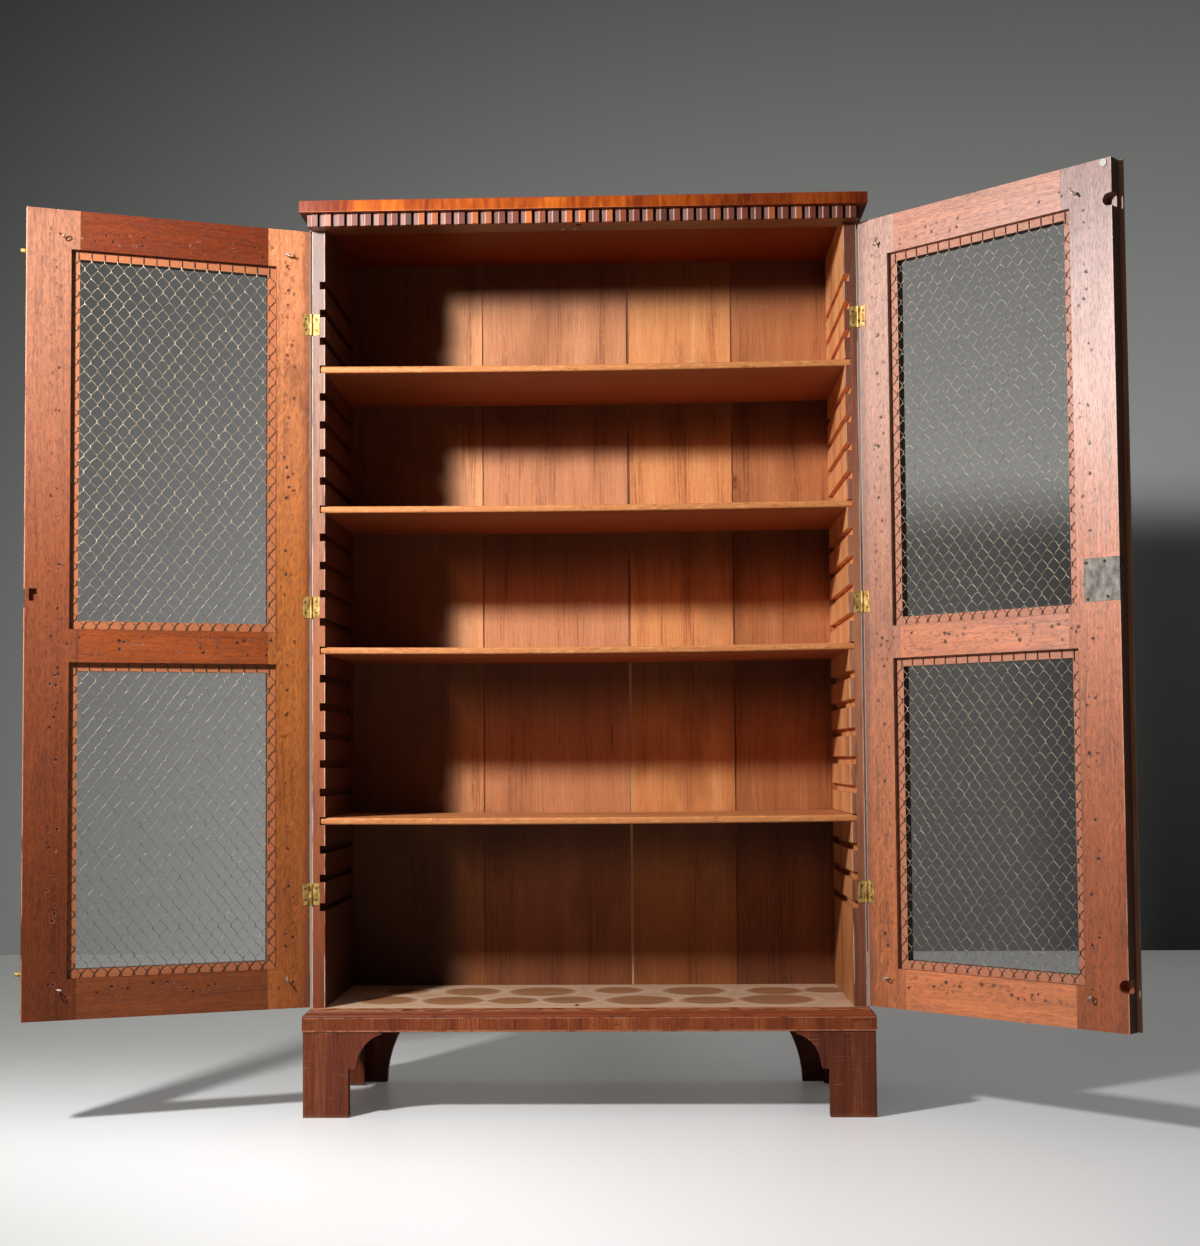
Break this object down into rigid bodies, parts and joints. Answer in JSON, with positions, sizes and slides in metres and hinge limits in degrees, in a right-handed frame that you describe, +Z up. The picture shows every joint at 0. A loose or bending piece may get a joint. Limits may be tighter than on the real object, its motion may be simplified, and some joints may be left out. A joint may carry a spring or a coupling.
{
  "type": "display cabinet",
  "caption": "Mahogany display cabinet with two hinged wire-net doors, shelves that slide in grooved oak sides, a dentil cornice and bracket feet.",
  "frame": {"origin": "on the floor, under the middle of the box round the cabinet with its doors open as in the picture; the middle of the case's front edges is at x = 0.0416, y = 0.0035 m", "axes": "+X right along the front as seen from the front, +Y into the case, +Z up"},
  "size_m": [1.8462, 0.651, 1.6225],
  "materials": {
    "mahogany": "old french polish, satin",
    "dark_mahogany": "old french polish, satin",
    "flame_mahogany": "polished flame veneer",
    "oak": "bare aged oak, matt",
    "brass": "aged brass",
    "net_wire": "drawn brass wire",
    "lock_steel": "worn steel",
    "pad_felt": "white pad"
  },
  "bodies": {
    "case": {"top_board": "flame_mahogany", "frieze_rail": "dark_mahogany", "dentil_moulding_front": "mahogany", "dentil_moulding_left": "mahogany", "dentil_moulding_right": "mahogany", "side_board_left": "oak", "side_board_right": "oak", "bottom_board": "oak", "back_board_1": "oak", "back_board_2": "oak", "back_board_3": "oak", "back_board_4": "oak", "plinth_moulding_front": "dark_mahogany", "plinth_moulding_left": "dark_mahogany", "plinth_moulding_right": "dark_mahogany", "front_left_foot": "dark_mahogany", "front_right_foot": "dark_mahogany", "rear_left_foot": "dark_mahogany", "rear_right_foot": "dark_mahogany", "left_upper_case_leaf": "brass", "left_middle_case_leaf": "brass", "left_lower_case_leaf": "brass", "right_upper_case_leaf": "brass", "right_middle_case_leaf": "brass", "right_lower_case_leaf": "brass"},
    "left_door": {"left_hinge_stile": "mahogany", "left_meeting_stile": "mahogany", "left_top_rail": "mahogany", "left_middle_rail": "mahogany", "left_bottom_rail": "mahogany", "left_upper_net": "net_wire", "left_lower_net": "net_wire", "left_upper_door_leaf": "brass", "left_middle_door_leaf": "brass", "left_lower_door_leaf": "brass", "left_upper_bolt_plate": "brass", "left_lower_bolt_plate": "brass", "left_strike_plate": "lock_steel"},
    "right_door": {"right_hinge_stile": "mahogany", "right_meeting_stile": "mahogany", "right_top_rail": "mahogany", "right_middle_rail": "mahogany", "right_bottom_rail": "mahogany", "right_upper_net": "net_wire", "right_lower_net": "net_wire", "right_upper_door_leaf": "brass", "right_middle_door_leaf": "brass", "right_lower_door_leaf": "brass", "right_lock": "lock_steel", "right_astragal": "mahogany", "right_bumper_pad": "pad_felt"},
    "upper_bolt": {"left_upper_bolt": "brass"},
    "lower_bolt": {"left_lower_bolt": "brass"},
    "lock_bolt": {"right_lock_bolt": "brass"},
    "shelf_1": {"shelf_1": "oak"},
    "shelf_2": {"shelf_2": "oak"},
    "shelf_3": {"shelf_3": "oak"},
    "shelf_4": {"shelf_4": "oak"}
  },
  "joints": [
    {"name": "left_door_hinge", "type": "hinge", "parent": "case", "child": "left_door", "pos_m": [-0.44993, 0.00245, 0.89745], "axis": [0, 0, -1], "range_deg": [-159.3, 20.7]},
    {"name": "right_door_hinge", "type": "hinge", "parent": "case", "child": "right_door", "pos_m": [0.53307, 0.00245, 0.89745], "axis": [0, 0, 1], "range_deg": [-137.9, 42.1]},
    {"name": "shelf_1_slide", "type": "slide", "parent": "case", "child": "shelf_1", "axis": [0, -1, 0], "range_m": [0, 0.28]},
    {"name": "shelf_2_slide", "type": "slide", "parent": "case", "child": "shelf_2", "axis": [0, -1, 0], "range_m": [0, 0.28]},
    {"name": "shelf_3_slide", "type": "slide", "parent": "case", "child": "shelf_3", "axis": [0, -1, 0], "range_m": [0, 0.28]},
    {"name": "shelf_4_slide", "type": "slide", "parent": "case", "child": "shelf_4", "axis": [0, -1, 0], "range_m": [0, 0.28]},
    {"name": "upper_bolt_slide", "type": "slide", "parent": "left_door", "child": "upper_bolt", "axis": [0, 0, -1], "range_m": [-0.012, 0]},
    {"name": "lower_bolt_slide", "type": "slide", "parent": "left_door", "child": "lower_bolt", "axis": [0, 0, 1], "range_m": [-0.012, 0]},
    {"name": "lock_bolt_slide", "type": "slide", "parent": "right_door", "child": "lock_bolt", "axis": [-0.742, 0.6704, 0], "range_m": [-0.009, 0]}
  ]
}
